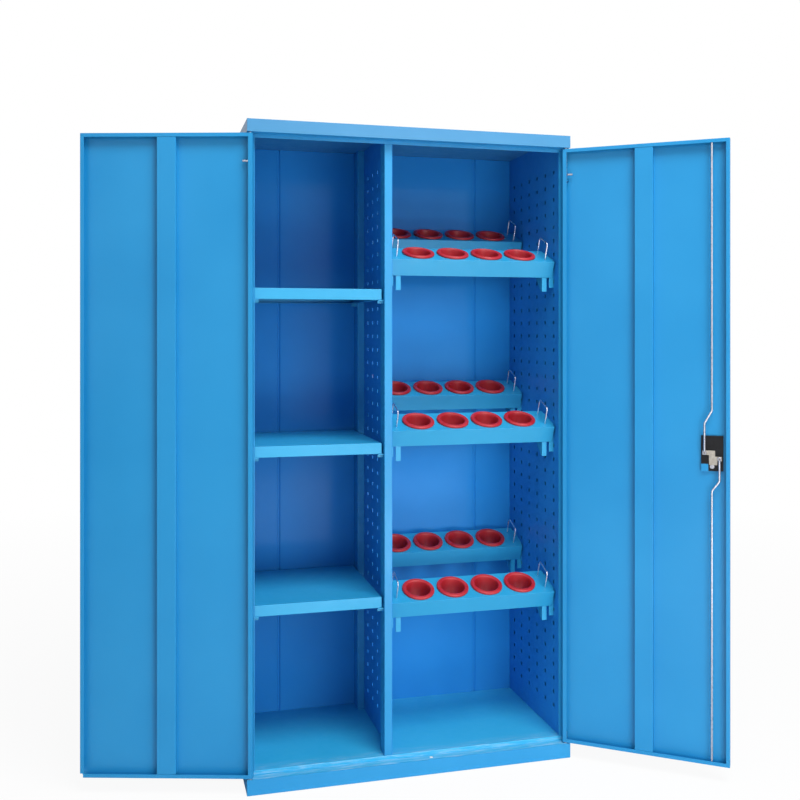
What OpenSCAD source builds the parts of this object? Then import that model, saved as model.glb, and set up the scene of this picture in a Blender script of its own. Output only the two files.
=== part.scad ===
// Tall sheet-steel tool cabinet with two hinged doors: shelves in its left bay, and tilted
// racks of cups for tapered tool holders in its right bay. Millimetres, +Z up, +Y to the back.
// The origin is on the ground, under the middle of the cabinet.

/* [Cabinet] */
// Width over the side panels
body_w = 920; // [900:10:1200]
// Depth from the front of the plinth to the back
body_d = 450; // [445:5:600]
// Height from the ground to the top
body_h = 1780; // [1760:10:2100]
// Thickness of the body's sheet steel
sheet = 1.2; // [1:0.1:1.6]
// Height of the plinth
plinth_h = 41; // [35:1:70]
// Width of the flange turned in under the plinth
plinth_foot = 20; // [12:1:30]
// Height of the top panel's front band
fascia_h = 34; // [28:1:60]
// Distance from the front of the plinth to the posts, which the doors lie in
recess = 30; // [28:1:40]
// Height of the step behind the sill
step_h = 11; // [8:1:16]
// Drop behind the top panel's front band
drop_h = 10; // [6:1:16]
// Width of the post that each side panel turns in at its front
post_w = 23; // [22:1:40]
// Distance from the inside of the back panel to the back
back_gap = 22; // [12:1:30]
// Distance of each stiffening bead of the back panel from the middle
bead_x = 318; // [290:1:400]
// Width of a stiffening bead
bead_w = 9; // [8:1:16]
// Depth of a stiffening bead
bead_d = 3.5; // [2:0.5:4]

/* [Perforated walls] */
// Distance from a side panel's outside to the wall inside it
wall_set = 19.5; // [14:0.5:21]
// Width and height of a square hole
hole = 10; // [9:0.5:12]
// Distance between the columns of holes
pitch_y = 62.5; // [60:0.5:63.5]
// Distance between the rows of holes
pitch_z = 40; // [38:0.5:42]
// Distance from the cabinet's front to the first column of holes
hole_y0 = 74; // [70:1:80]
// Height of the lowest row of holes
hole_z0 = 126; // [100:1:150]
// Least distance from a hole's middle to the top of the wall's opening
hole_top = 40; // [20:1:60]
// Least distance from a hole's middle to the back panel
hole_rear = 30; // [20:1:40]

/* [Divider and uprights] */
// Middle of the divider, from the middle of the cabinet
divider_x = -70; // [-150:1:-60]
// Thickness of the divider
divider_w = 22; // [18:1:40]
// Distance from the cabinet's front to the back of the front uprights
front_upright = 75; // [60:1:100]
// Distance from the front of the rear uprights to the back panel
rear_upright = 53; // [48:1:88]
// Distance from the cabinet's front to the front column of slots
slot_front = 48; // [40:1:55]
// Distance from the rear column of slots to the back panel
slot_rear = 38; // [28:1:43]
// Width of a slot
slot_w = 4; // [3.5:0.5:6]
// Height of a slot
slot_h = 15; // [14:1:18]
// Distance between slots
slot_pitch = 25; // [22:0.5:28]
// Height of the lowest slot
slot_z0 = 104; // [80:1:120]
// Least distance from a slot's middle to the top of the opening
slot_top = 45; // [20:1:60]

/* [Shelves] */
// Slots that the lower, middle and upper shelf's clips hang in, counted from 0
shelf_slots = [14, 31, 48];
// Height of a shelf's folded edge
shelf_t = 30; // [20:1:40]
// Distance from the cabinet's front to a shelf's front edge
shelf_front = 42; // [36:1:46]
// Gap between a shelf and the walls round it
shelf_gap = 5; // [3:0.5:8]
// Width of a shelf's inward return
shelf_return = 14; // [8:1:20]
// Height of a shelf's underside over the middle of its slots
shelf_over = 3; // [1:0.5:5]
// Width of a clip's ledge
clip_w = 20; // [10:1:30]
// Distance that a clip's ledge reaches out from the wall
clip_out = 16; // [12:1:24]
// Thickness of a clip's ledge and hook
clip_t = 2; // [1.5:0.5:3]
// Thickness of a clip's blade, which lies in its slot
clip_blade = 3; // [2:0.5:3]
// Distance that a clip's hook hangs below its blade
clip_hook = 5; // [3:0.5:8]

/* [Racks] */
// Rows of holes that the lower, middle and upper front racks hang from, counted from 0
rack_rows = [8, 20, 32];
// Rows by which each back rack is higher than the one before it
rack_rise = 2; // [1:1:4]
// Distance from a rack's front edge back to its column of holes
rack_lead = 80.5; // [76:0.5:85]
// Height of a rack's front edge over its row of holes
rack_over = 16; // [12:1:20]
// Forward tilt of a rack in degrees
rack_tilt = 22; // [18:1:26]
// Length of a rack's deck along its slope
deck_l = 105; // [100:1:115]
// Height of a rack's front flange
rack_flange = 48; // [40:1:60]
// Height of a rack's back flange
rack_rear = 20; // [12:1:30]
// Gap between a rack and the wall at each of its ends
rack_gap = 5; // [4:0.5:8]
// Cups in a rack
cup_count = 4; // [1:1:4]
// Distance between cups
cup_pitch = 103; // [96:1:106]
// Outside diameter of a cup's rim
cup_rim_d = 93; // [86:1:95]
// Thickness of a cup's rim
cup_rim_t = 7; // [4:0.5:10]
// Outside diameter of a cup's sleeve
cup_sleeve_d = 80; // [78:1:84]
// Diameter of a cup's mouth
cup_mouth_d = 70; // [60:1:72]
// Narrowing of a cup's bore, in diameter for each unit of depth
cup_taper = 0.292; // [0.1:0.002:0.35]
// Depth of a cup under the deck
cup_depth = 40; // [30:1:50]
// Thickness of a cup's wall at its foot
cup_wall = 5; // [3:0.5:6]
// Gap round a sleeve in its hole
cup_gap = 0.3; // [0.2:0.05:0.5]

/* [Rack brackets] */
// Thickness of a bracket
bracket_t = 2; // [1.5:0.5:3]
// Width of the strip at a bracket's front
strip_w = 14; // [10:1:16]
// Gap between the two strips at each end of a rack
strip_gap = 8; // [6:1:12]
// Depth of a bracket at its foot
plate_foot = 7; // [5:1:12]
// Distance that the outer strip reaches below the front flange
outer_drop = 29; // [20:1:36]
// Distance that the inner strip reaches below the front flange
inner_drop = 41; // [30:1:50]
// Width and height of a hook in its hole
hook = 8; // [6:0.5:8.5]
// Distance that a hook hangs down behind the wall
hook_drop = 9; // [7:0.5:12]
// Diameter of the wire bails
bail_d = 4; // [3:0.5:6]
// Height of a bail over the deck
bail_h = 48; // [40:1:60]
// Distance between a bail's legs
bail_l = 60; // [40:1:70]
// Distance of a bail's front leg from the deck's front edge
bail_front = 25; // [15:1:28]
// Distance of a bail from the end of its rack
bail_in = 20; // [14:1:25]
// Radius of a bail's bends
bail_bend = 8; // [5:0.5:12]

/* [Doors] */
// Thickness of a door
door_t = 21; // [20.5:0.5:24]
// Thickness of a door's sheet steel
door_sheet = 1.2; // [1:0.1:1.4]
// Gap between a closed door's edge and the outside of the side panel
door_side_gap = 2; // [1:0.5:4]
// Gap between the closed doors
door_mid_gap = 4; // [3:0.5:8]
// Gap over and under a door
door_end_gap = 3; // [2:0.5:5]
// Width of the lip at a door's hinge edge
lip_hinge = 12; // [8:1:16]
// Width of the lip at a door's free edge
lip_free = 10; // [8:1:14]
// Width of the lip at a door's top and bottom
lip_end = 10; // [6:1:14]
// Width of a door's stiffener
rib_w = 50; // [40:1:80]
// Height of a door's stiffener over the door's skin
rib_h = 19; // [14:0.5:19]
// Width of the notch in the left door's lower corner
notch_w = 8; // [4:1:10]
// Height of the notch in the left door's lower corner
notch_h = 11; // [6:1:14]
// Distance from a door's edge to its hinge axis
pin_x = 7.5; // [7:0.5:9]
// Distance from a door's outside to its hinge axis
pin_y = 11.5; // [10.5:0.5:12]
// Diameter of the hinge pins
pin_d = 8; // [6:0.5:9]
// Radial clearance of a pin or a spindle in its hole
pin_clear = 0.08; // [0.03:0.01:0.1]
// How far the hinge pins reach into the rails
pin_reach = 9; // [6:0.5:12]
// Height of a bottom pin over the sill
pin_up = 30; // [20:1:40]
// Diameter of a bottom pin's collar
collar_d = 14; // [12:0.5:15]
// Gap between a bottom pin's collar and the door on it
collar_gap = 0.1; // [0.05:0.05:0.3]
// Distance from a door's top to the grip of its top pin
grip_down = 73; // [60:1:100]
// Length of the grip
grip_l = 20; // [16:1:30]
// Diameter of the grip
grip_d = 6; // [5:0.5:7]
// Thickness of a top pin's guide
guide_t = 2; // [1.5:0.5:3]
// Angle of the open left door, from closed
left_open = 195.9; // [90:0.1:199]
// Angle of the open right door, from closed
right_open = 143.2; // [90:0.1:199]

/* [Lock] */
// Height of the lock case's middle
lock_z = 888; // [800:1:1000]
// Distance of the lock's spindle from the door's free edge
lock_in = 47; // [44:1:60]
// Width of the lock case
case_w = 58; // [54:1:64]
// Height of the lock case
case_h = 96; // [94:1:120]
// Depth of the lock case
case_t = 6; // [4:0.2:6.4]
// Distance from the case's middle down to the spindle
spindle_down = 6; // [2:0.5:8]
// Diameter of the spindle
spindle_d = 12; // [10:0.5:13]
// Distance that the spindle stands out over the cam
spindle_out = 3; // [1:0.5:4]
// Distance from the spindle down to the key cylinder
key_down = 30; // [28:0.5:31]
// Diameter of the key cylinder's plug
key_d = 12; // [10:0.5:13]
// Diameter of the plug's stub inside the door
stub_d = 6; // [4:0.5:6]
// Thickness of the zinc block on the case
block_t = 2.8; // [2:0.1:2.8]
// Width of the zinc block
block_w = 22; // [16:1:24]
// Height of the zinc block
block_h = 19; // [14:1:20]
// Distance from the spindle down to the block's middle
block_down = 16; // [15:0.5:17]
// Distance that the block lies nearer the door's free edge than the spindle
block_side = 3; // [0:0.5:5]
// Width of the tab that holds the case
tab_w = 19; // [12:1:20]
// Distance that the tab laps over the case
tab_lap = 19; // [12:1:22]
// Thickness of the cam plate
cam_t = 2.4; // [2:0.1:2.4]
// Distance of each rod's end from the spindle, sideways
cam_arm = 19.5; // [18:0.5:20]
// Distance of each rod's end from the spindle, up or down
cam_rise = 8; // [6:0.5:9]
// Width of the cam's middle strip
cam_w = 16; // [14:0.5:17]
// Width of the cam's arms
arm_w = 12; // [9:0.5:13]
// Diameter of the lock rods
rod_d = 6; // [5:0.5:6]
// Diameter of a rod's eye
eye_d = 11; // [8:0.5:12]
// Thickness of a rod's eye
eye_t = 4; // [3:0.5:4.5]
// Radial clearance of a rod in the door's holes
rod_clear = 0.1; // [0.05:0.01:0.1]
// Radial clearance of a rod in the sill and the header
strike_clear = 2; // [1:0.5:3]
// Length of the upper rod's straight end, over its eye
upper_end = 80; // [60:1:100]
// Height of the upper rod's jog
upper_jog = 35; // [25:1:45]
// Length of the lower rod's straight end, under its eye
lower_end = 61; // [45:1:80]
// Height of the lower rod's jog
lower_jog = 26; // [22:1:45]
// Thickness of the lock's outer plate
plate_t = 3; // [2:0.5:5]
// Distance that the handle stands out from the outer plate
handle_out = 26; // [20:1:35]
// Thickness of the handle's wings
wing_t = 10; // [8:0.5:12]
// Length over the handle's wings
wing_l = 54; // [40:1:56]
// Width of a wing's end
wing_w = 14; // [10:1:18]
// Diameter of the handle's hub
hub_d = 22; // [18:1:24]
// Diameter of a screw's head
screw_d = 7; // [5:0.5:8]
// Height of a screw's head
screw_h = 2; // [1:0.5:3]
// Distance of a screw from the plate's edges
screw_in = 7; // [5:0.5:9]

/* [Hidden] */
$fn = 48;

paint = "#3a9ad9";
bright = "#d5dae6";
zinc = "#b9b3a6";
black = "#1c1f24";
red = "#c8283a";

// Gap between pieces that lie against each other without touching
seam = 0.3;
// Distance that a cut runs on past what it cuts
over = 1;

half_w = body_w / 2;
inner_x = half_w - sheet;
front_y = -body_d / 2;
rear_y = body_d / 2;
post_y = front_y + recess;
inside_y = post_y + sheet;
back_y = rear_y - back_gap;
floor_z = plinth_h + step_h;
fascia_z = body_h - fascia_h;
header_z = fascia_z - drop_h;
ceiling_z = body_h - sheet;
wall_x = half_w - wall_set;
divider_l = divider_x - divider_w / 2;
divider_r = divider_x + divider_w / 2;

module box(low, high) {
    translate(low) cube(high - low);
}

module at_side(side) {
    if (side > 0) children();
    else mirror([1, 0, 0]) children();
}

// Flat shape in the Y-Z plane, with its low x face at x
module upright_shape(x, thick) {
    translate([x, 0, 0]) rotate([90, 0, 90]) linear_extrude(thick) children();
}

// ---------------------------------------------------------------- body

// Ring of folded steel that the cabinet stands on
module plinth() {
    color(paint) difference() {
        box([-half_w, front_y, 0], [half_w, rear_y, plinth_h]);
        box([-inner_x, front_y + sheet, sheet], [inner_x, rear_y - sheet, plinth_h + over]);
        box([-half_w + plinth_foot, front_y + plinth_foot, -over],
            [half_w - plinth_foot, rear_y - plinth_foot, sheet + over]);
    }
}

// Holes of the hinge pins and of one lock rod through a rail whose underside is at z
module rail_holes(z) {
    for (side = [-1, 1])
        translate([side * hinge_x, hinge_y, z - over])
            cylinder(d = pin_d + 2 * pin_clear, h = sheet + 2 * over);
    translate([rod_x, rod_y, z - over]) cylinder(d = rod_d + 2 * strike_clear, h = sheet + 2 * over);
}

// Top of the plinth's front
module sill_rail() {
    color(paint) difference() {
        box([-inner_x, front_y + sheet, plinth_h - sheet], [inner_x, inside_y, plinth_h]);
        rail_holes(plinth_h - sheet);
    }
}

// Underside of the top panel's front, with a drop at its back
module header_rail() {
    color(paint) difference() {
        union() {
            box([-inner_x, front_y + sheet, fascia_z], [inner_x, inside_y, fascia_z + sheet]);
            box([-inner_x, post_y, header_z], [inner_x, inside_y, fascia_z + sheet]);
        }
        rail_holes(fascia_z);
    }
}

// Floor of both bays, with a step at its front
module floor_panel() {
    color(paint) {
        box([-inner_x, post_y, floor_z - sheet], [inner_x, back_y, floor_z]);
        box([-inner_x, post_y, plinth_h], [inner_x, inside_y, floor_z]);
    }
}

// Side, with the post at its front and a flange at its back
module side_panel() {
    color(paint) {
        box([inner_x, post_y, plinth_h], [half_w, rear_y, fascia_z]);
        box([half_w - post_w, post_y, floor_z], [half_w, inside_y, header_z]);
        box([half_w - post_w, rear_y - sheet, plinth_h], [half_w, rear_y, fascia_z]);
    }
}

module left_side_panel() {
    at_side(-1) side_panel();
}

module right_side_panel() {
    side_panel();
}

// Lid, with its band turned down on all four sides
module top_panel() {
    color(paint) difference() {
        box([-half_w, front_y, fascia_z], [half_w, rear_y, body_h]);
        box([-inner_x, front_y + sheet, fascia_z - over], [inner_x, rear_y - sheet, ceiling_z]);
    }
}

// Plan of the back panel's inside, from left to right: each bead is a shallow trough
bead_line = [
    for (side = [-1, 1]) each [
        [side * bead_x - bead_w / 2, 0],
        [side * bead_x - bead_w / 4, bead_d],
        [side * bead_x + bead_w / 4, bead_d],
        [side * bead_x + bead_w / 2, 0]
    ]
];

// Back, with two upright beads and a flange at each side that reaches the cabinet's back
module back_panel() {
    near = concat([[-inner_x, 0]], bead_line, [[inner_x, 0]]);
    color(paint) {
        translate([0, back_y, plinth_h]) linear_extrude(ceiling_z - plinth_h)
            polygon(concat(near, [for (i = [len(near) - 1:-1:0]) near[i] + [0, sheet]]));
        for (side = [-1, 1]) at_side(side)
            box([inner_x - sheet, back_y, plinth_h], [inner_x, rear_y - sheet, ceiling_z]);
    }
}

// ---------------------------------------------------------------- perforated walls

hole_rows = floor((header_z - hole_top - hole_z0) / pitch_z) + 1;
hole_cols = floor((body_d - back_gap - hole_rear - hole_y0) / pitch_y) + 1;

function row_z(i) = hole_z0 + i * pitch_z;
function col_y(i) = front_y + hole_y0 + i * pitch_y;

// Flat perforated sheet from y0 to the back panel, with its low x face at x
module perforated(x, y0) {
    upright_shape(x, sheet) difference() {
        translate([y0, floor_z]) square([back_y - y0, ceiling_z - floor_z]);
        for (i = [0:hole_rows - 1], j = [0:hole_cols - 1])
            translate([col_y(j), row_z(i)]) square(hole, center = true);
    }
}

module right_wall_liner() {
    color(paint) perforated(wall_x, inside_y + seam);
}

// Its front upper corner is cut away round the header
module divider_panel() {
    color(paint) difference() {
        perforated(divider_r - sheet, post_y);
        box([divider_l, post_y - over, header_z], [divider_r + over, inside_y + seam, body_h]);
    }
}

// ---------------------------------------------------------------- slotted uprights

slot_rows = floor((header_z - slot_top - slot_z0) / slot_pitch) + 1;

function slot_z(i) = slot_z0 + i * slot_pitch;

// Channel from y0 to y1 with a column of slots in its face. The face is at x = 0 and its
// two edges are turned back by deep
module slotted_channel(y0, y1, deep, slot_y, top) {
    difference() {
        box([0, y0, floor_z], [deep, y1, top]);
        box([sheet, y0 + sheet, floor_z - over], [deep + over, y1 - sheet, top + over]);
        for (i = [0:slot_rows - 1])
            box([-over, slot_y - slot_w / 2, slot_z(i) - slot_h / 2],
                [sheet + over, slot_y + slot_w / 2, slot_z(i) + slot_h / 2]);
    }
}

module divider_front_upright() {
    color(paint) translate([divider_l, 0, 0])
        slotted_channel(post_y, front_y + front_upright, divider_w - sheet, front_y + slot_front,
            header_z);
}

module divider_rear_upright() {
    color(paint) translate([divider_l, 0, 0])
        slotted_channel(back_y - rear_upright, back_y, divider_w - sheet, back_y - slot_rear,
            ceiling_z);
}

module left_front_upright() {
    color(paint) translate([-wall_x, 0, 0]) mirror([1, 0, 0])
        slotted_channel(inside_y + seam, front_y + front_upright, inner_x - wall_x,
            front_y + slot_front, header_z);
}

module left_rear_upright() {
    color(paint) translate([-wall_x, 0, 0]) mirror([1, 0, 0])
        slotted_channel(back_y - rear_upright, back_y, inner_x - wall_x, back_y - slot_rear,
            ceiling_z);
}

// ---------------------------------------------------------------- shelves

shelf_x0 = -wall_x + shelf_gap;
shelf_x1 = divider_l - shelf_gap;
shelf_y0 = front_y + shelf_front;
shelf_y1 = back_y - shelf_gap;

// Tray turned upside down, with its edges folded down and then in. k counts from the lowest
module shelf(k) {
    low = slot_z(shelf_slots[k]) + shelf_over;
    top = low + shelf_t;
    color(paint) difference() {
        box([shelf_x0, shelf_y0, low], [shelf_x1, shelf_y1, top]);
        box([shelf_x0 + sheet, shelf_y0 + sheet, low + sheet],
            [shelf_x1 - sheet, shelf_y1 - sheet, top - sheet]);
        box([shelf_x0 + shelf_return, shelf_y0 + shelf_return, low - over],
            [shelf_x1 - shelf_return, shelf_y1 - shelf_return, low + sheet + over]);
    }
}

module lower_shelf() {
    shelf(0);
}

module middle_shelf() {
    shelf(1);
}

module upper_shelf() {
    shelf(2);
}

// Room under a clip's blade in its slot
slot_room = 1;

// Clip in a slot: a blade through the wall, a hook behind it and a ledge under the shelf.
// The wall's face is at x = 0 and the slot's middle at z = 0
module clip() {
    behind = -sheet - seam;
    low = -slot_h / 2 + slot_room;
    box([behind - clip_t, -clip_blade / 2, low], [clip_out, clip_blade / 2, shelf_over]);
    box([behind - clip_t, -clip_blade / 2, low - clip_hook], [behind, clip_blade / 2, shelf_over]);
    box([seam, -clip_w / 2, shelf_over - clip_t], [clip_out, clip_w / 2, shelf_over]);
}

// Four clips for each shelf, two at each end
module shelf_clips() {
    color(paint) for (k = shelf_slots, y = [front_y + slot_front, back_y - slot_rear])
        translate([0, y, slot_z(k)]) {
            translate([-wall_x, 0, 0]) clip();
            translate([divider_l, 0, 0]) mirror([1, 0, 0]) clip();
        }
}

// ---------------------------------------------------------------- racks

// Column of holes that the front racks hang from, counted from 0
front_column = 1;
// The back racks hang from the last column
back_column = hole_cols - 1;
rack_mid = (wall_x + divider_r) / 2;
rack_half = (wall_x - divider_r) / 2;
tray_half = rack_half - rack_gap;

// Row and column of holes for each rack: the three in front from the lowest up, then the back
rack_holes = concat([for (r = rack_rows) [r, front_column]],
    [for (r = rack_rows) [r + rack_rise, back_column]]);
racks = [0:len(rack_holes) - 1];

// Puts a rack's own frame in place: x from its middle, y and z from its front edge
module at_rack(i) {
    translate([rack_mid, col_y(rack_holes[i][1]) - rack_lead, row_z(rack_holes[i][0]) + rack_over])
        children();
}

// Same, with y up the slope of the deck and z out of it
module on_deck(i) {
    at_rack(i) rotate([rack_tilt, 0, 0]) children();
}

module both_ends() {
    for (turn = [0, 1]) mirror([turn, 0, 0]) children();
}

module cup_places() {
    for (k = [0:cup_count - 1])
        translate([(k - (cup_count - 1) / 2) * cup_pitch, deck_l / 2, 0]) children();
}

// Sloping deck with a hole for each cup, a front flange and a back flange
module rack_tray(i) {
    color(paint) on_deck(i) difference() {
        union() {
            box([-tray_half, 0, -sheet], [tray_half, deck_l, 0]);
            box([-tray_half, 0, -rack_flange], [tray_half, sheet, 0]);
            box([-tray_half, deck_l - sheet, -rack_rear], [tray_half, deck_l, 0]);
        }
        cup_places() translate([0, 0, -sheet - over])
            cylinder(d = cup_sleeve_d + 2 * cup_gap, h = sheet + 2 * over);
    }
}

cup_foot_r = (cup_mouth_d - cup_taper * (cup_depth + cup_rim_t)) / 2;
cup_edge = 2;

// Plastic cup with a tapered bore right through it: a rim on the deck and a sleeve below
module cup() {
    rotate_extrude() polygon([
        [cup_foot_r, -cup_depth],
        [cup_foot_r + cup_wall, -cup_depth],
        [cup_sleeve_d / 2, -cup_depth / 3],
        [cup_sleeve_d / 2, 0],
        [cup_rim_d / 2, 0],
        [cup_rim_d / 2, cup_rim_t - cup_edge],
        [cup_rim_d / 2 - cup_edge, cup_rim_t],
        [cup_mouth_d / 2, cup_rim_t]]);
}

module rack_cups(i) {
    color(red) on_deck(i) cup_places() cup();
}

// Metal left behind a hook in its plate
hook_edge = 1;
// Front of the strips, just behind the front flange's foot
strip_y = rack_flange * sin(rack_tilt) + sheet * cos(rack_tilt) + seam;
flange_z = -rack_flange * cos(rack_tilt);
// Back of the plates, behind the column of holes
plate_y = rack_lead + hook / 2 + hook_edge;

// Height of a plate's sloping top at y, just under the deck
function under(y) = y * tan(rack_tilt) - (sheet + seam) / cos(rack_tilt);

// Upright plate under the deck, with a strip turned in at its front. The plate's low x face
// is at x, and the strip spans x0 to x1
module end_plate(x, x0, x1, drop) {
    low = flange_z - drop;
    upright_shape(x, bracket_t) polygon([
        [strip_y, low],
        [strip_y + plate_foot, low],
        [plate_y, -rack_over - hook_drop],
        [plate_y, under(plate_y)],
        [strip_y, under(strip_y)]]);
    box([x0, strip_y, low], [x1, strip_y + bracket_t, under(strip_y)]);
}

// Plate under each end of each tray
module rack_gussets() {
    x1 = rack_half - strip_w - strip_gap;
    x0 = x1 - strip_w;
    color(paint) for (i = racks) at_rack(i) both_ends() end_plate(x0, x0, x1, inner_drop);
}

// Bracket that carries one end of a tray on a ledge, hooked into two holes of the wall
module bracket() {
    x0 = rack_half - strip_w;
    behind = rack_half + sheet + seam;
    end_plate(rack_half - bracket_t, x0, rack_half, outer_drop);
    rotate([rack_tilt, 0, 0])
        box([x0, strip_y / cos(rack_tilt) + bracket_t, -sheet - seam - bracket_t],
            [rack_half, plate_y / cos(rack_tilt) - bracket_t, -sheet - seam]);
    for (k = [0, 1]) translate([0, rack_lead, k * pitch_z - rack_over]) {
        box([rack_half - bracket_t, -hook / 2, -hook / 2], [behind + bracket_t, hook / 2, hook / 2]);
        box([behind, -hook / 2, -hook_drop], [behind + bracket_t, hook / 2, hook / 2]);
    }
}

module rack_brackets() {
    color(paint) for (i = racks) at_rack(i) both_ends() bracket();
}

module bail_corner() {
    rotate_extrude(angle = 90) translate([bail_bend, 0]) circle(d = bail_d);
}

// Wire bail, standing on the deck
module bail() {
    far = bail_front + bail_l;
    for (y = [bail_front, far]) translate([0, y, 0]) cylinder(d = bail_d, h = bail_h - bail_bend);
    translate([0, bail_front + bail_bend, bail_h]) rotate([-90, 0, 0])
        cylinder(d = bail_d, h = bail_l - 2 * bail_bend);
    translate([0, bail_front + bail_bend, bail_h - bail_bend]) rotate([90, 0, -90]) bail_corner();
    translate([0, far - bail_bend, bail_h - bail_bend]) rotate([90, 0, 90]) bail_corner();
}

module rack_bails() {
    color(bright) for (i = racks) on_deck(i) both_ends()
        translate([tray_half - bail_in, 0, 0]) bail();
}

// ---------------------------------------------------------------- doors

door_x0 = door_mid_gap / 2;
door_x1 = half_w - door_side_gap;
door_y0 = front_y;
door_y1 = front_y + door_t;
skin_y = door_y0 + door_sheet;
door_bottom = plinth_h + door_end_gap;
door_top = fascia_z - door_end_gap;
hinge_x = door_x1 - pin_x;
hinge_y = door_y0 + pin_y;

// Everything on a door is drawn as on the closed right door, then swung open
module swing(side, angle) {
    at_side(side) translate([hinge_x, hinge_y, 0]) rotate([0, 0, angle])
        translate([-hinge_x, -hinge_y, 0]) children();
}

module on_left() {
    swing(-1, left_open) children();
}

module on_right() {
    swing(1, right_open) children();
}

// Skin with its edges folded in all round and turned back as lips
module door_pan() {
    difference() {
        box([door_x0, door_y0, door_bottom], [door_x1, door_y1, door_top]);
        box([door_x0 + door_sheet, skin_y, door_bottom + door_sheet],
            [door_x1 - door_sheet, door_y1 - door_sheet, door_top - door_sheet]);
        box([door_x0 + lip_free, skin_y, door_bottom + lip_end],
            [door_x1 - lip_hinge, door_y1 + over, door_top - lip_end]);
        for (z = [door_bottom, door_top - door_sheet])
            translate([hinge_x, hinge_y, z - over])
                cylinder(d = pin_d + 2 * pin_clear, h = door_sheet + 2 * over);
    }
}

// The left door's folded edges are notched at its lower free corner
module left_door_pan() {
    color(paint) on_left() difference() {
        door_pan();
        box([door_x0 - over, skin_y, door_bottom - over],
            [door_x0 + notch_w, door_y1 + over, door_bottom + notch_h]);
    }
}

// Gap round the spindle and the key plug in the door's skin
skin_gap = 2;

// The right door has the holes of the spindle, the key and the rods
module right_door_pan() {
    color(paint) on_right() difference() {
        door_pan();
        across(spindle_z, door_y0 - over)
            cylinder(d = spindle_d + 2 * skin_gap, h = door_sheet + 2 * over);
        across(key_z, door_y0 - over) cylinder(d = key_d + 2 * skin_gap, h = door_sheet + 2 * over);
        for (z = [door_bottom, door_top - door_sheet])
            translate([rod_x, rod_y, z - over])
                cylinder(d = rod_d + 2 * rod_clear, h = door_sheet + 2 * over);
    }
}

// Upright channel on the inside of a door's skin
module stiffener() {
    mid = (door_x0 + door_x1) / 2;
    low = door_bottom + lip_end + seam;
    top = door_top - lip_end - seam;
    difference() {
        box([mid - rib_w / 2, skin_y, low], [mid + rib_w / 2, skin_y + rib_h, top]);
        box([mid - rib_w / 2 + door_sheet, skin_y - over, low - over],
            [mid + rib_w / 2 - door_sheet, skin_y + rib_h - door_sheet, top + over]);
    }
}

module left_door_stiffener() {
    color(paint) on_left() stiffener();
}

module right_door_stiffener() {
    color(paint) on_right() stiffener();
}

// Length of a lowered top pin that stays over the door's edge
pin_kept = 1;
// Travel that takes a top pin out of the header but leaves its end in the door
pin_throw = pin_reach + door_end_gap - pin_kept;
// Room under the grip when its pin is down
grip_room = 2;
guide_z = door_top - grip_down - pin_throw - grip_d / 2 - grip_room;

// Tab behind the hinge edge's lip, which guides the foot of the top pin
module pin_guide() {
    difference() {
        box([door_x1 - lip_hinge - guide_t, skin_y, guide_z - guide_t],
            [door_x1 - door_sheet, door_y1 - door_sheet, guide_z]);
        translate([hinge_x, hinge_y, guide_z - guide_t - over])
            cylinder(d = pin_d + 2 * pin_clear, h = guide_t + 2 * over);
    }
}

module left_pin_guide() {
    color(paint) on_left() pin_guide();
}

module right_pin_guide() {
    color(paint) on_right() pin_guide();
}

// Sliding pin on the hinge axis, with a grip that points along the door
module top_pin() {
    foot = guide_z - guide_t - pin_d;
    translate([hinge_x, hinge_y, foot]) cylinder(d = pin_d, h = fascia_z + pin_reach - foot);
    translate([hinge_x, hinge_y, door_top - grip_down]) rotate([0, -90, 0])
        cylinder(d = grip_d, h = grip_l);
}

module left_top_pin() {
    color(bright) on_left() top_pin();
}

module right_top_pin() {
    color(bright) on_right() top_pin();
}

// Fixed pin in the sill, with a collar that the door rests on
module bottom_pin() {
    translate([hinge_x, hinge_y, plinth_h - pin_reach]) cylinder(d = pin_d, h = pin_reach + pin_up);
    translate([hinge_x, hinge_y, plinth_h]) cylinder(d = collar_d, h = door_end_gap - collar_gap);
}

module left_bottom_pin() {
    color(bright) at_side(-1) bottom_pin();
}

module right_bottom_pin() {
    color(bright) bottom_pin();
}

// ---------------------------------------------------------------- lock

rod_x = door_x0 + lock_in;
case_y = skin_y + case_t;
cam_y = case_y + block_t + seam;
rod_y = cam_y + cam_t + seam + rod_d / 2;
plate_face = door_y0 - plate_t;
spindle_z = lock_z - spindle_down;
key_z = spindle_z - key_down;
case_low = lock_z - case_h / 2;

// Turns children to point from the door's outside inwards, in line with the lock
module across(z, y) {
    translate([rod_x, y, z]) rotate([-90, 0, 0]) children();
}

// Bores for the spindle and the key plug through a block from y0 to y1
module lock_bores(y0, y1) {
    across(spindle_z, y0 - over) cylinder(d = spindle_d + 2 * pin_clear, h = y1 - y0 + 2 * over);
    across(key_z, y0 - over) cylinder(d = key_d + 2 * pin_clear, h = y1 - y0 + 2 * over);
}

module lock_case() {
    color(black) on_right() difference() {
        box([rod_x - case_w / 2, skin_y, case_low], [rod_x + case_w / 2, case_y, case_low + case_h]);
        lock_bores(skin_y, case_y);
    }
}

// Plate on the outside of the door
module lock_plate() {
    color(black) on_right() difference() {
        box([rod_x - case_w / 2, plate_face, case_low], [rod_x + case_w / 2, door_y0, case_low + case_h]);
        lock_bores(plate_face, door_y0);
    }
}

// Screws in the corners of the outer plate
module lock_screws() {
    color(bright) on_right() for (i = [-1, 1], j = [-1, 1])
        translate([i * (case_w / 2 - screw_in), 0, j * (case_h / 2 - screw_in)])
            across(lock_z, plate_face - screw_h) cylinder(d = screw_d, h = screw_h);
}

// Gap round the spindle and the key plug's stub in the zinc block
block_gap = 1;

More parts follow.
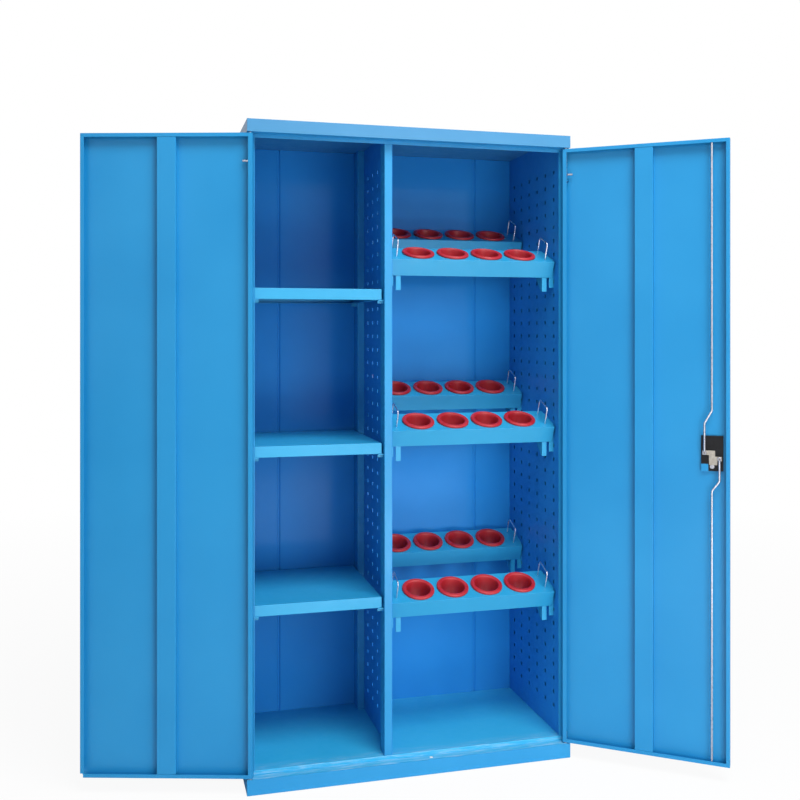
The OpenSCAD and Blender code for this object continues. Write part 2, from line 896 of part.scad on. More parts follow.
// Zinc block on the inside of the case
module lock_block() {
    x = rod_x - block_side;
    z = spindle_z - block_down;
    color(zinc) on_right() difference() {
        box([x - block_w / 2, case_y, z - block_h / 2], [x + block_w / 2, case_y + block_t, z + block_h / 2]);
        across(spindle_z, case_y - over)
            cylinder(d = spindle_d + 2 * block_gap, h = block_t + 2 * over);
        across(key_z, case_y - over) cylinder(d = stub_d + 2 * block_gap, h = block_t + 2 * over);
    }
}

// Painted tab that laps over the case's lower corner
module lock_tab() {
    x1 = rod_x + case_w / 2;
    foot = case_low - seam - door_sheet;
    color(paint) on_right() {
        box([x1 - tab_w, skin_y, foot], [x1, case_y + door_sheet, foot + door_sheet]);
        box([x1 - tab_w, case_y, foot], [x1, case_y + door_sheet, case_low + tab_lap]);
    }
}

// Z-shaped cam on the spindle, whose arms move the rods
module lock_cam() {
    color(zinc) on_right() {
        box([rod_x - cam_w / 2, cam_y, spindle_z - cam_rise - arm_w / 2],
            [rod_x + cam_w / 2, cam_y + cam_t, spindle_z + cam_rise + arm_w / 2]);
        for (side = [-1, 1]) {
            tip = rod_x + side * (cam_arm + arm_w / 2);
            z = spindle_z + side * cam_rise;
            box([min(rod_x, tip), cam_y, z - arm_w / 2], [max(rod_x, tip), cam_y + cam_t, z + arm_w / 2]);
        }
        across(spindle_z, plate_face)
            cylinder(d = spindle_d, h = cam_y + cam_t + spindle_out - plate_face);
    }
}

// Step from the spindle in to the handle's neck
neck_step = 1;

// Winged handle on the outer end of the spindle
module lock_handle() {
    reach = wing_l / 2 - wing_w / 2;
    color(bright) on_right() {
        across(spindle_z, plate_face - handle_out + wing_t / 2)
            cylinder(d = hub_d, h = handle_out - wing_t / 2 - seam);
        across(spindle_z, plate_face - seam - over) cylinder(d = spindle_d - 2 * neck_step, h = seam + over);
        across(spindle_z, plate_face - handle_out) hull() {
            for (i = [-1, 1]) translate([i * reach, 0, 0]) cylinder(d = wing_w, h = wing_t, $fn = 32);
            cylinder(d = hub_d, h = wing_t, $fn = 32);
        }
    }
}

keyway_w = 2;
keyway_h = 8;
keyway_deep = 5;
plug_out = 2;

// Turning plug of the key cylinder, with its keyway outside and a stub inside
module key_plug() {
    color(bright) on_right() difference() {
        union() {
            across(key_z, plate_face - plug_out)
                cylinder(d = key_d, h = case_y - plate_face + plug_out);
            across(key_z, case_y) cylinder(d = stub_d, h = block_t);
        }
        box([rod_x - keyway_w / 2, plate_face - plug_out - over, key_z - keyway_h / 2],
            [rod_x + keyway_w / 2, plate_face - plug_out + keyway_deep, key_z + keyway_h / 2]);
    }
}

// Straight piece of rod in the door's plane, from a to b, each as [x, z]
module rod_run(a, b) {
    run = b - a;
    translate([a[0], rod_y, a[1]]) rotate([0, atan2(run[0], run[1]), 0])
        cylinder(d = rod_d, h = norm(run));
}

bend_more = 0.6;

// Bend of a rod, a little thicker than the rod
module rod_bend(at) {
    translate([at[0], rod_y, at[1]]) sphere(d = rod_d + bend_more);
}

// Rod with its eye on the cam's arm, a straight end, a jog and a long run to z = far.
// side is 1 for the rod that goes up and -1 for the one that goes down
module lock_rod(side, straight, jog, far) {
    x = rod_x + side * cam_arm;
    eye_z = spindle_z + side * cam_rise;
    bend_1 = [x, eye_z + side * straight];
    bend_2 = [rod_x, eye_z + side * (straight + jog)];
    translate([x, rod_y - eye_t / 2, eye_z]) rotate([-90, 0, 0]) cylinder(d = eye_d, h = eye_t);
    rod_run([x, eye_z], bend_1);
    rod_bend(bend_1);
    rod_run(bend_1, bend_2);
    rod_bend(bend_2);
    rod_run(bend_2, [rod_x, far]);
}

module upper_rod() {
    color(bright) on_right() lock_rod(1, upper_end, upper_jog, door_top);
}

module lower_rod() {
    color(bright) on_right() lock_rod(-1, lower_end, lower_jog, door_bottom);
}

plinth();
sill_rail();
floor_panel();
left_side_panel();
right_side_panel();
top_panel();
header_rail();
back_panel();
right_wall_liner();
divider_panel();
divider_front_upright();
divider_rear_upright();
left_front_upright();
left_rear_upright();
lower_shelf();
middle_shelf();
upper_shelf();
shelf_clips();
rack_tray(0);  // rack_tray_1
rack_tray(1);  // rack_tray_2
rack_tray(2);  // rack_tray_3
rack_tray(3);  // rack_tray_4
rack_tray(4);  // rack_tray_5
rack_tray(5);  // rack_tray_6
rack_cups(0);  // rack_cups_1
rack_cups(1);  // rack_cups_2
rack_cups(2);  // rack_cups_3
rack_cups(3);  // rack_cups_4
rack_cups(4);  // rack_cups_5
rack_cups(5);  // rack_cups_6
rack_gussets();
rack_brackets();
rack_bails();
left_door_pan();
left_door_stiffener();
left_pin_guide();
left_bottom_pin();
left_top_pin();
right_door_pan();
right_door_stiffener();
right_pin_guide();
right_bottom_pin();
right_top_pin();
lock_case();
lock_plate();
lock_screws();
lock_block();
lock_tab();
lock_cam();
lock_handle();
key_plug();
upper_rod();
lower_rod();
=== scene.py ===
import math

import bmesh
import bpy
from mathutils import Matrix, Vector


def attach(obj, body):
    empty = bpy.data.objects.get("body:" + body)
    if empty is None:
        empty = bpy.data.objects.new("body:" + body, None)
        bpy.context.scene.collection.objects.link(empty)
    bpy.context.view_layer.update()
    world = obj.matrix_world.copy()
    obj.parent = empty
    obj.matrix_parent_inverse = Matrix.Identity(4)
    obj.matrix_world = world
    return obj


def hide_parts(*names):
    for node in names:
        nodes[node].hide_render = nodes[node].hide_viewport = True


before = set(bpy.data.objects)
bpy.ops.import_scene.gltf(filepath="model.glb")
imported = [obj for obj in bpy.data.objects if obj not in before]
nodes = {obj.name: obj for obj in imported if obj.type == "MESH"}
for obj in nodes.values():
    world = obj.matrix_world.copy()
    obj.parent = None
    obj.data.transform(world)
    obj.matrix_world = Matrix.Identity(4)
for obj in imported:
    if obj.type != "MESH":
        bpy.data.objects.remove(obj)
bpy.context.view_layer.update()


# ---------------------------------------------------------------- studio
# A white sweep: a pale floor that keeps the cabinet's shadow, and a white surround. A tall lamp
# in front puts the sheen on the folded fronts, a high one lights the floors and shelves, and two
# weak ones fill from the left and from low in front. The camera stands at chest height.

bpy.context.scene.view_settings.view_transform = "Standard"

camera = bpy.data.objects.new("camera", bpy.data.cameras.new("camera"))
bpy.context.scene.collection.objects.link(camera)
camera.location = (-0.7317, -2.8113, 1.2191)
camera.rotation_euler = (math.radians(90), 0, math.radians(-14.869))
camera.data.lens = 44.09
camera.data.sensor_width = 36
camera.data.shift_y = -0.0852
camera.data.clip_end = 60
bpy.context.scene.camera = camera


def lamp(name, place, aim, width, height, watts):
    light = bpy.data.lights.new(name, "AREA")
    light.shape = "RECTANGLE"
    light.size, light.size_y = width, height
    light.energy = watts
    holder = bpy.data.objects.new(name, light)
    bpy.context.scene.collection.objects.link(holder)
    holder.location = place
    holder.rotation_mode = "QUATERNION"
    holder.rotation_quaternion = (Vector(aim) - Vector(place)).to_track_quat("-Z", "Y")


lamp("front_lamp", (0.95, -3.5, 1.2), (0.0, 0.0, 1.0), 1.4, 2.4, 32)
lamp("top_lamp", (0.5, -2.3, 4.3), (0.0, 0.0, 0.6), 2.4, 1.6, 158)
lamp("left_lamp", (-3.0, -2.6, 2.0), (0.0, 0.0, 0.9), 2.0, 2.4, 8)
lamp("low_lamp", (0.3, -2.0, 0.25), (0.1, 0.0, 0.4), 1.4, 0.4, 9)

surround = bpy.data.worlds.new("surround")
bpy.context.scene.world = surround
surround.use_nodes = True
tree = surround.node_tree
tree.nodes.clear()
sky_out = tree.nodes.new("ShaderNodeOutputWorld")
sky_lit = tree.nodes.new("ShaderNodeBackground")
sky_lit.inputs["Color"].default_value = (0.95, 0.97, 1.0, 1)
sky_lit.inputs["Strength"].default_value = 0.26
sky_seen = tree.nodes.new("ShaderNodeBackground")
sky_seen.inputs["Color"].default_value = (1, 1, 1, 1)
sky_seen.inputs["Strength"].default_value = 1.0
sky_rays = tree.nodes.new("ShaderNodeLightPath")
sky_either = tree.nodes.new("ShaderNodeMath")
sky_either.operation = "MAXIMUM"
sky_mix = tree.nodes.new("ShaderNodeMixShader")
tree.links.new(sky_rays.outputs["Is Camera Ray"], sky_either.inputs[0])
tree.links.new(sky_rays.outputs["Is Glossy Ray"], sky_either.inputs[1])
tree.links.new(sky_either.outputs[0], sky_mix.inputs[0])
tree.links.new(sky_lit.outputs[0], sky_mix.inputs[1])
tree.links.new(sky_seen.outputs[0], sky_mix.inputs[2])
tree.links.new(sky_mix.outputs[0], sky_out.inputs["Surface"])

bpy.ops.object.select_all(action="DESELECT")
bpy.ops.mesh.primitive_plane_add(size=40, location=(0, 0, -0.0006))
floor = bpy.context.object
floor.name = "floor"
floor_white = bpy.data.materials.new("floor_white")
floor_white.use_nodes = True
tree = floor_white.node_tree
tree.nodes.clear()
floor_out = tree.nodes.new("ShaderNodeOutputMaterial")
floor_matt = tree.nodes.new("ShaderNodeBsdfDiffuse")
floor_matt.inputs["Color"].default_value = (0.86, 0.87, 0.88, 1)
floor_glow = tree.nodes.new("ShaderNodeEmission")
floor_glow.inputs["Strength"].default_value = 1.0
floor_rays = tree.nodes.new("ShaderNodeLightPath")
floor_place = tree.nodes.new("ShaderNodeTexCoord")
floor_reach = tree.nodes.new("ShaderNodeVectorMath")
floor_reach.operation = "LENGTH"
floor_fade = tree.nodes.new("ShaderNodeMapRange")
for name, value in (("From Min", 0.8), ("From Max", 4.5), ("To Min", 0.93), ("To Max", 1.0)):
    floor_fade.inputs[name].default_value = value
floor_part = tree.nodes.new("ShaderNodeMath")
floor_part.operation = "MULTIPLY"
floor_mix = tree.nodes.new("ShaderNodeMixShader")
tree.links.new(floor_place.outputs["Object"], floor_reach.inputs[0])
tree.links.new(floor_reach.outputs["Value"], floor_fade.inputs["Value"])
tree.links.new(floor_rays.outputs["Is Camera Ray"], floor_part.inputs[0])
tree.links.new(floor_fade.outputs["Result"], floor_part.inputs[1])
tree.links.new(floor_part.outputs[0], floor_mix.inputs[0])
tree.links.new(floor_matt.outputs[0], floor_mix.inputs[1])
tree.links.new(floor_glow.outputs[0], floor_mix.inputs[2])
tree.links.new(floor_mix.outputs[0], floor_out.inputs["Surface"])
floor.data.materials.append(floor_white)


# ---------------------------------------------------------------- plinth, sill and floor
# Folded 1.2 mm steel, powder coated a clear mid blue. The coat is glossy with a fine orange
# peel. The sill and the front of the floor are scuffed pale where boxes are dragged over them,
# and sill and floor are painted a lighter blue than the body, a painted light for the lamps
# above.

cut_rim = 0.0003
panel_fold = 0.0012


def new_material(name):
    made = bpy.data.materials.new(name)
    made.use_nodes = True
    return made, made.node_tree, made.node_tree.nodes["Principled BSDF"]


def noise(tree, source, scale, detail=2.0, rough=0.5):
    made = tree.nodes.new("ShaderNodeTexNoise")
    made.inputs["Scale"].default_value = scale
    made.inputs["Detail"].default_value = detail
    made.inputs["Roughness"].default_value = rough
    tree.links.new(source, made.inputs["Vector"])
    return made.outputs["Fac"]


def ranged(tree, source, low, high, to_low, to_high):
    made = tree.nodes.new("ShaderNodeMapRange")
    sockets = ("From Min", "From Max", "To Min", "To Max")
    for name, value in zip(sockets, (low, high, to_low, to_high)):
        made.inputs[name].default_value = value
    tree.links.new(source, made.inputs["Value"])
    return made.outputs["Result"]


def blended(tree, factor, first, second):
    made = tree.nodes.new("ShaderNodeMix")
    made.data_type = "RGBA"
    tree.links.new(factor, made.inputs[0])
    for socket, value in ((made.inputs[6], first), (made.inputs[7], second)):
        if isinstance(value, tuple):
            socket.default_value = (*value, 1)
        else:
            tree.links.new(value, socket)
    return made.outputs[2]


def bumped(tree, shader, height, distance, strength):
    made = tree.nodes.new("ShaderNodeBump")
    made.inputs["Strength"].default_value = strength
    made.inputs["Distance"].default_value = distance
    tree.links.new(height, made.inputs["Height"])
    tree.links.new(made.outputs["Normal"], shader.inputs["Normal"])


def powder_coat(name, deep, fresh, gloss=0.34, scuffed=False):
    """Two close blues drift over the sheet, and a 1 mm orange peel breaks up its gloss."""
    made, tree, shader = new_material(name)
    place = tree.nodes.new("ShaderNodeTexCoord").outputs["Object"]
    drift = ranged(tree, noise(tree, place, 3.1, 3), 0.35, 0.65, 0, 1)
    colour = blended(tree, drift, deep, fresh)
    cloud = ranged(tree, noise(tree, place, 38, 5, 0.6), 0.3, 0.7, 0.36, 0.48)
    if scuffed:
        sill_front, scuff_end = -0.222, -0.150
        worn_pale = (0.42, 0.63, 0.78)
        apart = tree.nodes.new("ShaderNodeSeparateXYZ")
        tree.links.new(place, apart.inputs[0])
        edge = ranged(tree, apart.outputs["Y"], sill_front, scuff_end, 1, 0)
        long_way = tree.nodes.new("ShaderNodeMapping")
        long_way.inputs["Scale"].default_value = (14, 190, 190)
        tree.links.new(place, long_way.inputs["Vector"])
        streaks = noise(tree, long_way.outputs[0], 1.0, 6, 0.72)
        marks = ranged(tree, streaks, 0.46, 0.64, 0, 0.85)
        both = tree.nodes.new("ShaderNodeMath")
        both.operation = "MULTIPLY"
        tree.links.new(edge, both.inputs[0])
        tree.links.new(marks, both.inputs[1])
        colour = blended(tree, both.outputs[0], colour, worn_pale)
    tree.links.new(colour, shader.inputs["Base Color"])
    tree.links.new(cloud, shader.inputs["Roughness"])
    shader.inputs["Specular IOR Level"].default_value = gloss
    shader.inputs["Coat Weight"].default_value = 0.06
    shader.inputs["Coat Roughness"].default_value = 0.12
    bumped(tree, shader, noise(tree, place, 950, 2), 0.00012, 0.35)
    return made


def only(piece):
    bpy.ops.object.select_all(action="DESELECT")
    piece.select_set(True)
    bpy.context.view_layer.objects.active = piece


def dressed(piece, body, material, slot, *stands_for):
    """Gives a finished piece its material and its body, and hides the nodes it stands for."""
    piece.data.materials.clear()
    piece.data.materials.append(material)
    only(piece)
    bpy.ops.object.shade_smooth_by_angle(angle=math.radians(34))
    level = piece.modifiers.new("flat_faces_stay_flat", "WEIGHTED_NORMAL")
    level.keep_sharp = True
    bpy.ops.object.modifier_apply(modifier=level.name)
    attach(piece, body)
    if stands_for:
        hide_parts(*stands_for)


def softened(node, name, rim, fold=0.0):
    """The node's own shape with its edges eased: rim on cut edges, fold where a sheet is bent."""
    sharp_turn, long_edge, wide_face = 1.0, 0.02, 0.004
    piece = nodes[node].copy()
    piece.data = nodes[node].data.copy()
    piece.parent = None
    for key in list(piece.keys()):
        del piece[key]
    piece.name = name
    bpy.context.scene.collection.objects.link(piece)
    only(piece)
    bpy.ops.object.mode_set(mode="EDIT")
    bpy.ops.mesh.select_all(action="SELECT")
    bpy.ops.mesh.remove_doubles(threshold=0.00002)
    bpy.ops.mesh.dissolve_limited(angle_limit=math.radians(1))
    if fold:
        bpy.ops.mesh.select_all(action="DESELECT")
        shape = bmesh.from_edit_mesh(piece.data)
        for edge in shape.edges:
            outer = len(edge.link_faces) == 2 and edge.is_convex
            if outer and edge.calc_face_angle(0) > sharp_turn:
                length = edge.calc_length()
                wide = [face.calc_area() / max(length, 1e-6) for face in edge.link_faces]
                edge.select_set(length > long_edge and min(wide) > wide_face)
        bmesh.update_edit_mesh(piece.data)
        bpy.ops.mesh.bevel(offset=fold, segments=3, affect="EDGES", clamp_overlap=True)
    bpy.ops.object.mode_set(mode="OBJECT")
    bevel = piece.modifiers.new("edges", "BEVEL")
    bevel.width = rim
    bevel.segments = 2
    bevel.limit_method = "ANGLE"
    bevel.angle_limit = math.radians(50)
    bpy.ops.object.modifier_apply(modifier=bevel.name)
    return piece


def painted(node, name, coat, rim=cut_rim, fold=0.0, body="cabinet"):
    """A sheet steel piece in the place of its node, in one of the blue coats."""
    dressed(softened(node, name, rim, fold), body, coat, "blue_paint", node)


body_blue = powder_coat("body_blue", (0.014, 0.262, 0.560), (0.020, 0.292, 0.600))
# A lighter copy of the body blue, painted light from above, with real pale scuffs at the front.
scuffed_lit_blue = powder_coat(
    "scuffed_lit_blue", (0.028, 0.400, 0.690), (0.040, 0.440, 0.730), scuffed=True
)
painted("plinth", "plinth_ring", body_blue, fold=panel_fold)
painted("sill_rail", "sill", scuffed_lit_blue, fold=panel_fold)
painted("floor_panel", "bay_floor", scuffed_lit_blue, fold=panel_fold)


# ---------------------------------------------------------------- sides, top and back
# The shell: two sides folded in to a post at the front, a lid whose band is turned down all
# round, the rail under it, and a back stiffened by two pressed beads. All are spot welded.

# The lid's coat is a greyer, darker copy of the body blue, a painted sheen for its front band.
lid_sheen_blue = powder_coat("lid_sheen_blue", (0.030, 0.215, 0.430), (0.040, 0.240, 0.470), gloss=0.6)
# The back's coat is a deeper indigo copy of the body blue, painted shade for the inside of the
# cabinet.
back_shade_blue = powder_coat("back_shade_blue", (0.014, 0.222, 0.600), (0.020, 0.252, 0.650), gloss=0.06)
painted("left_side_panel", "left_side", body_blue, fold=panel_fold)
painted("right_side_panel", "right_side", body_blue, fold=panel_fold)
painted("top_panel", "lid", lid_sheen_blue, fold=panel_fold)
painted("header_rail", "header", body_blue, fold=panel_fold)
painted("back_panel", "back", back_shade_blue, fold=panel_fold)


# ---------------------------------------------------------------- perforated walls
# Flat sheets punched with rows of square holes for the racks' hooks. The punch rolls each
# hole's edge a little, which catches the light round it.

# The walls' coat is a deeper indigo copy of the body blue, painted shade for the inside of the
# bays.
wall_shade_blue = powder_coat("wall_shade_blue", (0.016, 0.225, 0.610), (0.024, 0.255, 0.660), gloss=0.2)
punched_rim = 0.00035
painted("right_wall_liner", "right_wall", wall_shade_blue, rim=punched_rim)
painted("divider_panel", "divider_wall", wall_shade_blue, rim=punched_rim)


# ---------------------------------------------------------------- uprights
# Folded channels with a column of upright slots for the shelf clips. The divider's front
# channel shows its face between the two bays.

painted("divider_front_upright", "divider_front", body_blue, fold=panel_fold)
painted("divider_rear_upright", "divider_rear", body_blue, fold=panel_fold)
painted("left_front_upright", "left_front_channel", body_blue, fold=panel_fold)
painted("left_rear_upright", "left_rear_channel", body_blue, fold=panel_fold)


# ---------------------------------------------------------------- shelves and clips
# Trays turned upside down, with folded edges. They lie on small clips that hook into the
# uprights' slots. Shelves and clips share one lighter blue, a painted light for the lamps above.

shelf_lit_blue = powder_coat("shelf_lit_blue", (0.020, 0.325, 0.590), (0.030, 0.355, 0.630))
tray_fold = 0.0013
painted("lower_shelf", "shelf_low", shelf_lit_blue, fold=tray_fold)
painted("middle_shelf", "shelf_mid", shelf_lit_blue, fold=tray_fold)
painted("upper_shelf", "shelf_high", shelf_lit_blue, fold=tray_fold)
painted("shelf_clips", "clips", shelf_lit_blue)


# ---------------------------------------------------------------- racks
# Six sloping trays, each held at both ends by a gusset and by a bracket that hooks into the
# walls. A bent wire bail, bright and zinc plated, stands at each end to lift the rack by.

rack_count = 6
strip_rim = 0.0004


def mottled(
    name, dull, bright, patches, polish, shine, grain, spread=(0.3, 0.7), metal=0.0, gloss=0.5
):
    """Two close tones in patches, a shine that drifts over them, and a fine grain.

    patches and polish are a noise's scale, detail and, if given, roughness. shine is the least
    and greatest roughness. grain is a noise's scale and detail, then its depth and strength.
    """
    made, tree, shader = new_material(name)
    place = tree.nodes.new("ShaderNodeTexCoord").outputs["Object"]
    tone = ranged(tree, noise(tree, place, *patches), *spread, 0, 1)
    tree.links.new(blended(tree, tone, dull, bright), shader.inputs["Base Color"])
    matt = ranged(tree, noise(tree, place, *polish), 0.3, 0.7, *shine)
    tree.links.new(matt, shader.inputs["Roughness"])
    shader.inputs["Metallic"].default_value = metal
    shader.inputs["Specular IOR Level"].default_value = gloss
    scale, detail, depth, strength = grain
    bumped(tree, shader, noise(tree, place, scale, detail), depth, strength)
    return made


def zinc(name, dull, bright):
    """Zinc plating, with the cloudy and slightly uneven shine that it has on steel."""
    return mottled(
        name, dull, bright, patches=(120, 4, 0.6), polish=(260, 3), shine=(0.22, 0.40),
        grain=(1500, 2, 0.00008, 0.25), metal=1.0,
    )


def plated(node, plating):
    nodes[node].data.materials.clear()
    nodes[node].data.materials.append(plating)


# The decks, gussets and brackets take the shelves' lighter blue, the same painted light from
# above.
for number in range(1, rack_count + 1):
    painted(f"rack_tray_{number}", f"rack_deck_{number}", shelf_lit_blue, fold=tray_fold)
painted("rack_gussets", "gussets", shelf_lit_blue, rim=strip_rim)
painted("rack_brackets", "brackets", shelf_lit_blue, rim=strip_rim)
wire_zinc = zinc("wire_zinc", (0.72, 0.72, 0.77), (0.88, 0.88, 0.92))
plated("rack_bails", wire_zinc)


# ---------------------------------------------------------------- cups
# Moulded red plastic: a broad rolled rim with a shallow groove, a funnel that fits the cone of
# a tool holder, and a sleeve that clips into the deck. The plastic has a fine eggshell grain.

red_plastic = mottled(
    "red_plastic", (0.40, 0.012, 0.020), (0.48, 0.026, 0.034), patches=(22, 3),
    polish=(90, 4), shine=(0.34, 0.50), grain=(1300, 2, 0.0001, 0.4), spread=(0.35, 0.65),
    gloss=0.45,
)
bay_middle = 0.19075
cup_pitch = 0.103
cup_setback = 0.0525
rack_slope = math.radians(22)


def turned(name, profile, sides=64):
    """A closed ring turned round +Z: profile is its section as (radius, height) in mm."""
    bpy.ops.object.select_all(action="DESELECT")
    radius, height = profile[0]
    bpy.ops.mesh.primitive_circle_add(
        vertices=sides, radius=radius / 1000, location=(0, 0, height / 1000)
    )
    piece = bpy.context.object
    piece.name = name
    bpy.ops.object.mode_set(mode="EDIT")
    bpy.ops.mesh.select_all(action="SELECT")
    for before, after in zip(profile, profile[1:]):
        bpy.ops.mesh.extrude_region_move(
            TRANSFORM_OT_translate={"value": (0, 0, (after[1] - before[1]) / 1000)}
        )
        ratio = after[0] / before[0]
        bpy.ops.transform.resize(
            value=(ratio, ratio, 1), center_override=(0, 0, after[1] / 1000)
        )
    bpy.ops.mesh.select_all(action="DESELECT")
    bpy.ops.mesh.select_mode(type="EDGE")
    shape = bmesh.from_edit_mesh(piece.data)
    for edge in shape.edges:
        edge.select_set(edge.is_boundary)
    bmesh.update_edit_mesh(piece.data)
    bpy.ops.mesh.bridge_edge_loops()
    bpy.ops.mesh.select_all(action="SELECT")
    bpy.ops.mesh.normals_make_consistent(inside=False)
    bpy.ops.object.mode_set(mode="OBJECT")
    only(piece)
    bpy.ops.object.transform_apply(location=True, rotation=True, scale=True)
    return piece


def copied(piece, name, place):
    made = piece.copy()
    made.data = piece.data.copy()
    made.name = name
    bpy.context.scene.collection.objects.link(made)
    made.data.transform(place)
    return made


def joined(pieces, name):
    bpy.ops.object.select_all(action="DESELECT")
    for piece in pieces:
        piece.select_set(True)
    bpy.context.view_layer.objects.active = pieces[0]
    bpy.ops.object.join()
    pieces[0].name = name
    return pieces[0]


cup = turned("cup", [
    (28.3, -40.0), (32.4, -40.0), (33.0, -39.4), (35.6, -28.0), (39.5, -14.0), (40.0, -12.4),
    (40.0, -5.0), (40.0, 0.0), (45.3, 0.0), (46.3, 0.9), (46.5, 2.4), (46.5, 4.2), (46.0, 5.6),
    (45.0, 6.6), (43.6, 7.0), (41.9, 7.0), (41.4, 6.5), (40.7, 6.5), (40.2, 7.0), (37.4, 7.0),
    (36.2, 6.6), (35.3, 5.6), (34.6, 3.9), (33.1, -2.0), (30.8, -18.0), (28.6, -38.4),
])
# Each deck's front edge as (y, z): three racks in front, from low to high, and three behind
rack_fronts = [
    (-0.169, 0.462), (-0.169, 0.942), (-0.169, 1.422),
    (0.081, 0.542), (0.081, 1.022), (0.081, 1.502),
]
for number, (front, height) in enumerate(rack_fronts, 1):
    deck = Matrix.Translation((bay_middle, front, height)) @ Matrix.Rotation(rack_slope, 4, "X")
    four = []
    for place in range(4):
        along = Matrix.Translation(((place - 1.5) * cup_pitch, cup_setback, 0))
        four.append(copied(cup, f"cup_{number}_{place}", deck @ along))
    cups = joined(four, f"cups_{number}")
    dressed(cups, "cabinet", red_plastic, "red_plastic", f"rack_cups_{number}")
bpy.data.objects.remove(cup)


# ---------------------------------------------------------------- doors
# Each is one skin folded in all round, with a wide channel welded up its middle, and hangs on
# two zinc plated pins. The left door swings right round, and the right one stands half way.

# The doors' coat is a darker copy of the body blue, painted shade for the dimmer light on the
# open doors.
door_shade_blue = powder_coat("door_shade_blue", (0.010, 0.236, 0.515), (0.015, 0.258, 0.545))
zinc_plate = zinc("zinc_plate", (0.42, 0.43, 0.49), (0.56, 0.57, 0.63))
guide_rim = 0.0002
for hand in ("left", "right"):
    door = f"{hand}_door"
    painted(f"{door}_pan", f"{hand}_skin", door_shade_blue, fold=tray_fold, body=door)
    painted(f"{door}_stiffener", f"{hand}_channel", door_shade_blue, fold=tray_fold, body=door)
    painted(f"{hand}_pin_guide", f"{hand}_guide_tab", door_shade_blue, rim=guide_rim, body=door)
    plated(f"{hand}_top_pin", zinc_plate)
    plated(f"{hand}_bottom_pin", zinc_plate)


# ---------------------------------------------------------------- lock
# A black pressed case inside the right door, riveted at three corners, with a die-cast cam
# that works both rods, and a plain winged handle over a key cylinder outside.

black_steel = mottled(
    "black_steel", (0.004, 0.004, 0.005), (0.011, 0.011, 0.013), patches=(70, 4, 0.6),
    polish=(210, 3), shine=(0.32, 0.52), grain=(1200, 2, 0.0001, 0.4), gloss=0.22,
)
cast_zinc = mottled(
    "cast_zinc", (0.32, 0.29, 0.25), (0.46, 0.43, 0.38), patches=(160, 5, 0.65),
    polish=(400, 3), shine=(0.36, 0.58), grain=(900, 3, 0.00015, 0.5), metal=0.75,
)
for node, name, body, material, slot, rim in (
    ("lock_case", "case", "right_door", black_steel, "black_steel", 0.0012),
    ("lock_plate", "outer_plate", "right_door", black_steel, "black_steel", 0.0010),
    ("lock_tab", "case_tab", "right_door", door_shade_blue, "blue_paint", 0.0004),
    ("lock_block", "cast_block", "right_door", cast_zinc, "zinc_casting", 0.0006),
    ("lock_cam", "cam", "lock_turn", cast_zinc, "zinc_casting", 0.0005),
    ("lock_handle", "handle", "lock_turn", cast_zinc, "bright_zinc", 0.0016),
    ("key_plug", "key_cylinder", "key", zinc_plate, "bright_zinc", 0.0003),
):
    dressed(softened(node, name, rim), body, material, slot, node)

# From the closed right door, where the lock's sizes are plain, to the open one
hinge = Vector((0.4505, -0.2135, 0))
opened = Matrix.Rotation(math.radians(143.2), 4, "Z")
swing = Matrix.Translation(hinge) @ opened @ Matrix.Translation(-hinge)
out_of_door = Matrix.Rotation(math.radians(90), 4, "X")
into_door = Matrix.Rotation(math.radians(-90), 4, "X")


def at_corners(head, name, corners, reach_x, reach_z, face_y, facing):
    """Copies of a rivet or screw at corners round the lock's middle, each (-1 or 1, -1 or 1)."""
    lock_x, lock_z = 0.049, 0.888
    heads = []
    for i, j in corners:
        spot = Matrix.Translation((lock_x + i * reach_x, face_y, lock_z + j * reach_z))
        heads.append(copied(head, f"{name}_{i}_{j}", swing @ spot @ facing))
    bpy.data.objects.remove(head)
    return heads


rivet = turned(
    "rivet", [(0.25, 0.0), (2.6, 0.0), (2.5, 0.5), (2.0, 1.0), (1.2, 1.3), (0.25, 1.4)], 24
)
rivets = at_corners(
    rivet, "rivet", [(-1, -1), (-1, 1), (1, 1)], 0.024, 0.042, -0.2178, into_door
)
dressed(joined(rivets, "case_rivets"), "right_door", black_steel, "black_steel")

screw = turned("screw", [
    (0.9, 0.5), (0.9, 0.0), (3.5, 0.0), (3.5, 0.7), (3.2, 1.4), (2.5, 1.9), (1.5, 2.0),
    (1.2, 1.2),
], 32)
screws = at_corners(
    screw, "screw", [(-1, -1), (-1, 1), (1, -1), (1, 1)], 0.022, 0.041, -0.228, out_of_door
)
dressed(joined(screws, "plate_screws"), "right_door", zinc_plate, "bright_zinc", "lock_screws")


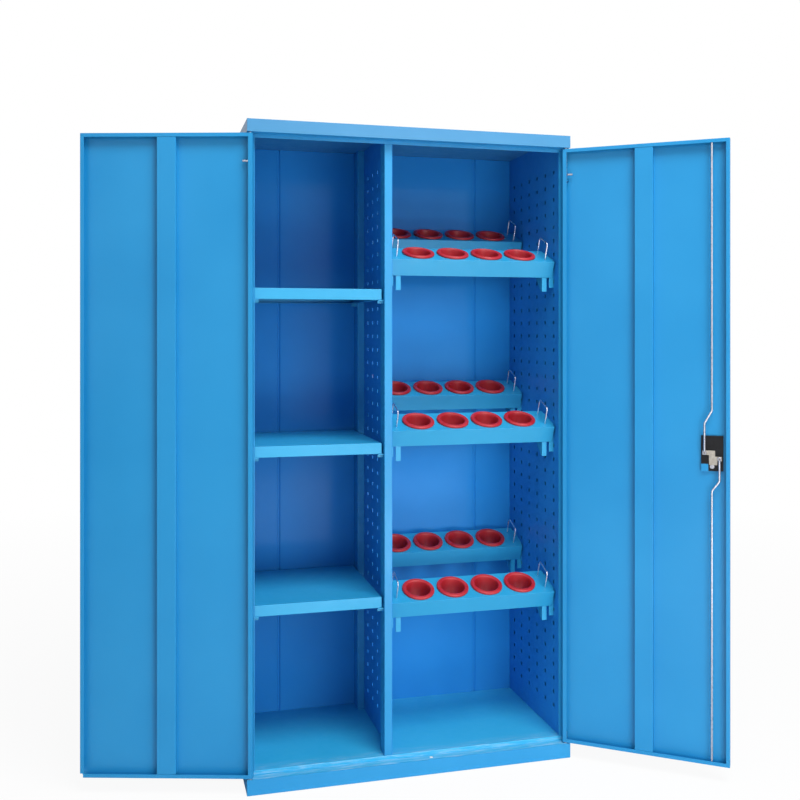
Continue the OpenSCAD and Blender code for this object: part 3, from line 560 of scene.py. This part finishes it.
# ---------------------------------------------------------------- lock rods
# Bright 6 mm wire, cranked so that each runs from an arm of the cam to the middle line of the
# door's ends. The end on the cam is pressed flat into an eye.

rod_line = -0.209
rod_radius = 0.003
crank_radius = 14
crank_steps = 8


def bent_rod(name, corners):
    """Round wire along the corners, each eased to the crank's radius. All are (x, z) in mm."""
    path = [Vector(corners[0])]
    for before, at, after in zip(corners, corners[1:], corners[2:]):
        at = Vector(at)
        back, on = (Vector(before) - at).normalized(), (Vector(after) - at).normalized()
        reach = crank_radius / math.tan(back.angle(on) / 2)
        start, end = at + back * reach, at + on * reach
        for step in range(crank_steps + 1):
            t = step / crank_steps
            path.append((1 - t) ** 2 * start + 2 * t * (1 - t) * at + t * t * end)
    path.append(Vector(corners[-1]))
    wire = bpy.data.curves.new(name, "CURVE")
    wire.dimensions = "3D"
    wire.bevel_depth = rod_radius
    wire.bevel_resolution = 6
    wire.use_fill_caps = True
    run = wire.splines.new("POLY")
    run.points.add(len(path) - 1)
    for point, spot in zip(run.points, path):
        point.co = (spot[0] / 1000, rod_line, spot[1] / 1000, 1)
    piece = bpy.data.objects.new(name, wire)
    bpy.context.scene.collection.objects.link(piece)
    only(piece)
    bpy.ops.object.convert(target="MESH")
    piece = bpy.context.object
    piece.data.transform(swing)
    return piece


eye = turned(
    "eye", [(2.6, -2.0), (4.9, -2.0), (5.5, -1.4), (5.5, 1.4), (4.9, 2.0), (2.6, 2.0)], 32
)
for name, eye_height, corners in (
    ("upper_rod", 0.890, [(68.5, 894), (68.5, 970), (49, 1005), (49, 1743)]),
    ("lower_rod", 0.874, [(29.5, 870), (29.5, 813), (49, 787), (49, 44)]),
):
    eye_place = Matrix.Translation((corners[0][0] / 1000, rod_line, eye_height))
    ring = copied(eye, f"{name}_eye", swing @ eye_place @ into_door)
    rod = joined([bent_rod(f"{name}_wire", corners), ring], f"{name}_bent")
    dressed(rod, f"{name}_body", zinc_plate, "bright_zinc", name)
bpy.data.objects.remove(eye)
